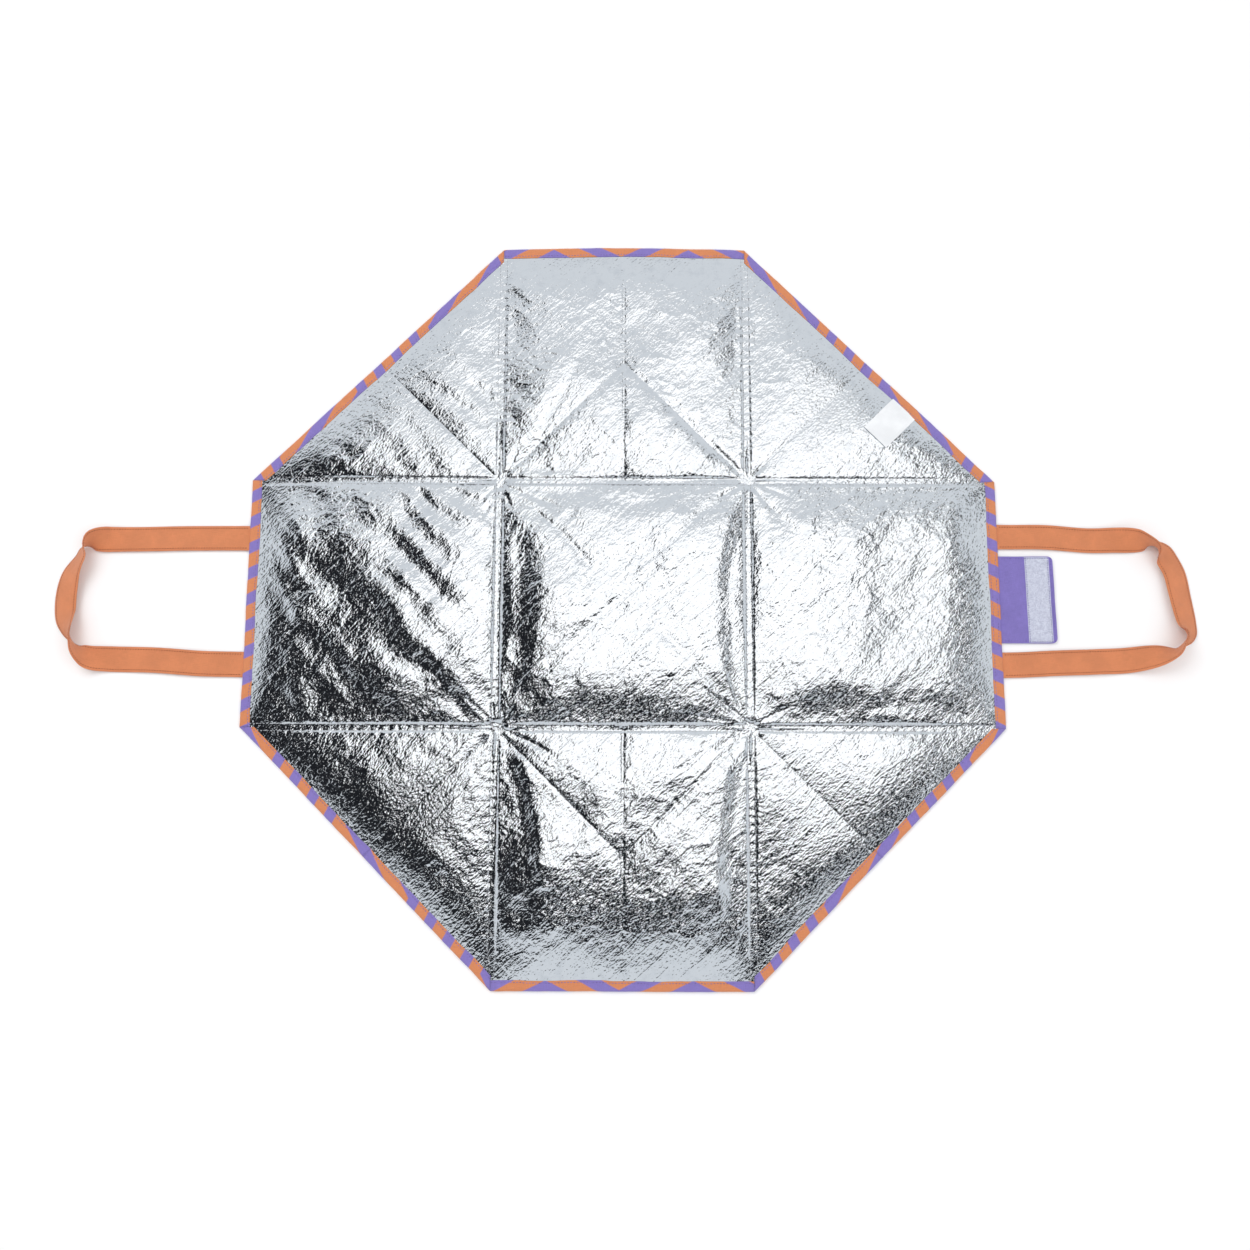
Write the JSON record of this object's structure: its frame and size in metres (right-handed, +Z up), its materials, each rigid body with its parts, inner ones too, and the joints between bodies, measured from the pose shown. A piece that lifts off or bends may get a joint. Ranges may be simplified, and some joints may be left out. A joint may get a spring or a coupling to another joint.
{
  "type": "fold-out insulated foam mat",
  "caption": "Flat octagonal mat of foam-backed foil panels with striped outer cloth, strap handles and a closure tab, folding up along stitched creases into a cube-shaped carry bag.",
  "frame": {"origin": "centre of the square base panel's underside, which lies on the ground when the mat is laid out", "axes": "+X towards the right wall and its handle (the longest way across), +Y towards the back wall, +Z up out of the foil lining"},
  "size_m": [1.134, 0.75, 0.0258],
  "materials": {
    "striped_cloth": "plain-weave polyester printed with orange and purple zigzag stripes",
    "hem_cloth": "the striped cloth turned over the edge and topstitched",
    "foam": "closed-cell polyethylene foam",
    "foil_lining": "crinkled aluminised film, stitched along the creases",
    "strap": "orange strap of folded cloth, stitched along both edges",
    "tab_cloth": "plain purple cloth, doubled",
    "closure_tape": "pale lilac hook-and-loop tape",
    "label_cloth": "bare white satin label"
  },
  "bodies": {
    "base": {"shell_base": "striped_cloth", "foam_base": "foam", "foil_base": "foil_lining"},
    "right_wall": {"shell_right_wall": "striped_cloth", "foam_right_wall": "foam", "foil_right_wall": "foil_lining", "hem_right_wall": "hem_cloth", "handle_right_ends": "strap", "closure_tab_end": "tab_cloth"},
    "back_wall": {"shell_back_wall": "striped_cloth", "foam_back_wall": "foam", "foil_back_wall": "foil_lining", "hem_back_wall": "hem_cloth"},
    "left_wall": {"shell_left_wall": "striped_cloth", "foam_left_wall": "foam", "foil_left_wall": "foil_lining", "hem_left_wall": "hem_cloth", "handle_left_ends": "strap", "loop_tape": "closure_tape"},
    "front_wall": {"shell_front_wall": "striped_cloth", "foam_front_wall": "foam", "foil_front_wall": "foil_lining", "hem_front_wall": "hem_cloth"},
    "gusset_back_right_a": {"shell_gusset_back_right_a": "striped_cloth", "foam_gusset_back_right_a": "foam", "foil_gusset_back_right_a": "foil_lining", "hem_gusset_back_right_a": "hem_cloth", "care_label": "label_cloth"},
    "gusset_back_right_b": {"shell_gusset_back_right_b": "striped_cloth", "foam_gusset_back_right_b": "foam", "foil_gusset_back_right_b": "foil_lining", "hem_gusset_back_right_b": "hem_cloth"},
    "gusset_back_left_a": {"shell_gusset_back_left_a": "striped_cloth", "foam_gusset_back_left_a": "foam", "foil_gusset_back_left_a": "foil_lining", "hem_gusset_back_left_a": "hem_cloth"},
    "gusset_back_left_b": {"shell_gusset_back_left_b": "striped_cloth", "foam_gusset_back_left_b": "foam", "foil_gusset_back_left_b": "foil_lining", "hem_gusset_back_left_b": "hem_cloth"},
    "gusset_front_left_a": {"shell_gusset_front_left_a": "striped_cloth", "foam_gusset_front_left_a": "foam", "foil_gusset_front_left_a": "foil_lining", "hem_gusset_front_left_a": "hem_cloth"},
    "gusset_front_left_b": {"shell_gusset_front_left_b": "striped_cloth", "foam_gusset_front_left_b": "foam", "foil_gusset_front_left_b": "foil_lining", "hem_gusset_front_left_b": "hem_cloth"},
    "gusset_front_right_a": {"shell_gusset_front_right_a": "striped_cloth", "foam_gusset_front_right_a": "foam", "foil_gusset_front_right_a": "foil_lining", "hem_gusset_front_right_a": "hem_cloth"},
    "gusset_front_right_b": {"shell_gusset_front_right_b": "striped_cloth", "foam_gusset_front_right_b": "foam", "foil_gusset_front_right_b": "foil_lining", "hem_gusset_front_right_b": "hem_cloth"},
    "handle_left": {"handle_left": "strap"},
    "handle_right": {"handle_right": "strap"},
    "closure_tab": {"closure_tab": "tab_cloth", "hook_tape": "closure_tape"}
  },
  "joints": [
    {"name": "left_wall_fold", "type": "hinge", "parent": "base", "child": "left_wall", "pos_m": [-0.125, 0, 0.0049], "axis": [0, 1, 0], "range_deg": [0, 88]},
    {"name": "right_wall_fold", "type": "hinge", "parent": "base", "child": "right_wall", "pos_m": [0.125, 0, 0.0049], "axis": [0, -1, 0], "range_deg": [0, 88]},
    {"name": "back_wall_fold", "type": "hinge", "parent": "base", "child": "back_wall", "pos_m": [0, 0.125, 0.0049], "axis": [1, 0, 0], "range_deg": [0, 88]},
    {"name": "front_wall_fold", "type": "hinge", "parent": "base", "child": "front_wall", "pos_m": [0, -0.125, 0.0049], "axis": [-1, 0, 0], "range_deg": [0, 88]},
    {"name": "gusset_back_right_side_fold", "type": "hinge", "parent": "right_wall", "child": "gusset_back_right_a", "pos_m": [0.125, 0.125, 0.0049], "axis": [-1, 0, 0], "range_deg": [0, 44]},
    {"name": "gusset_back_right_diagonal_fold", "type": "hinge", "parent": "gusset_back_right_a", "child": "gusset_back_right_b", "pos_m": [0.125, 0.125, 0.0049], "axis": [0.7071, 0.7071, 0], "range_deg": [0, 176]},
    {"name": "gusset_back_left_side_fold", "type": "hinge", "parent": "left_wall", "child": "gusset_back_left_a", "pos_m": [-0.125, 0.125, 0.0049], "axis": [-1, 0, 0], "range_deg": [0, 44]},
    {"name": "gusset_back_left_diagonal_fold", "type": "hinge", "parent": "gusset_back_left_a", "child": "gusset_back_left_b", "pos_m": [-0.125, 0.125, 0.0049], "axis": [0.7071, -0.7071, 0], "range_deg": [0, 176]},
    {"name": "gusset_front_left_side_fold", "type": "hinge", "parent": "left_wall", "child": "gusset_front_left_a", "pos_m": [-0.125, -0.125, 0.0049], "axis": [1, 0, 0], "range_deg": [0, 44]},
    {"name": "gusset_front_left_diagonal_fold", "type": "hinge", "parent": "gusset_front_left_a", "child": "gusset_front_left_b", "pos_m": [-0.125, -0.125, 0.0049], "axis": [-0.7071, -0.7071, 0], "range_deg": [0, 176]},
    {"name": "gusset_front_right_side_fold", "type": "hinge", "parent": "right_wall", "child": "gusset_front_right_a", "pos_m": [0.125, -0.125, 0.0049], "axis": [1, 0, 0], "range_deg": [0, 44]},
    {"name": "gusset_front_right_diagonal_fold", "type": "hinge", "parent": "gusset_front_right_a", "child": "gusset_front_right_b", "pos_m": [0.125, -0.125, 0.0049], "axis": [-0.7071, 0.7071, 0], "range_deg": [0, 176]},
    {"name": "handle_left_fold", "type": "hinge", "parent": "left_wall", "child": "handle_left", "pos_m": [-0.3753, 0, 0.0049], "axis": [0, 1, 0], "range_deg": [0, 165]},
    {"name": "handle_right_fold", "type": "hinge", "parent": "right_wall", "child": "handle_right", "pos_m": [0.3753, 0, 0.0049], "axis": [0, -1, 0], "range_deg": [0, 165]},
    {"name": "closure_tab_fold", "type": "hinge", "parent": "right_wall", "child": "closure_tab", "pos_m": [0.3753, 0, 0.0049], "axis": [0, -1, 0], "range_deg": [0, 170]}
  ],
  "couplings": [
    {"joint": "right_wall_fold", "follows": "left_wall_fold", "ratio": 1},
    {"joint": "back_wall_fold", "follows": "left_wall_fold", "ratio": 1},
    {"joint": "front_wall_fold", "follows": "left_wall_fold", "ratio": 1},
    {"joint": "gusset_back_right_side_fold", "follows": "left_wall_fold", "ratio": 0.5},
    {"joint": "gusset_back_right_diagonal_fold", "follows": "left_wall_fold", "ratio": 2},
    {"joint": "gusset_back_left_side_fold", "follows": "left_wall_fold", "ratio": 0.5},
    {"joint": "gusset_back_left_diagonal_fold", "follows": "left_wall_fold", "ratio": 2},
    {"joint": "gusset_front_left_side_fold", "follows": "left_wall_fold", "ratio": 0.5},
    {"joint": "gusset_front_left_diagonal_fold", "follows": "left_wall_fold", "ratio": 2},
    {"joint": "gusset_front_right_side_fold", "follows": "left_wall_fold", "ratio": 0.5},
    {"joint": "gusset_front_right_diagonal_fold", "follows": "left_wall_fold", "ratio": 2}
  ]
}
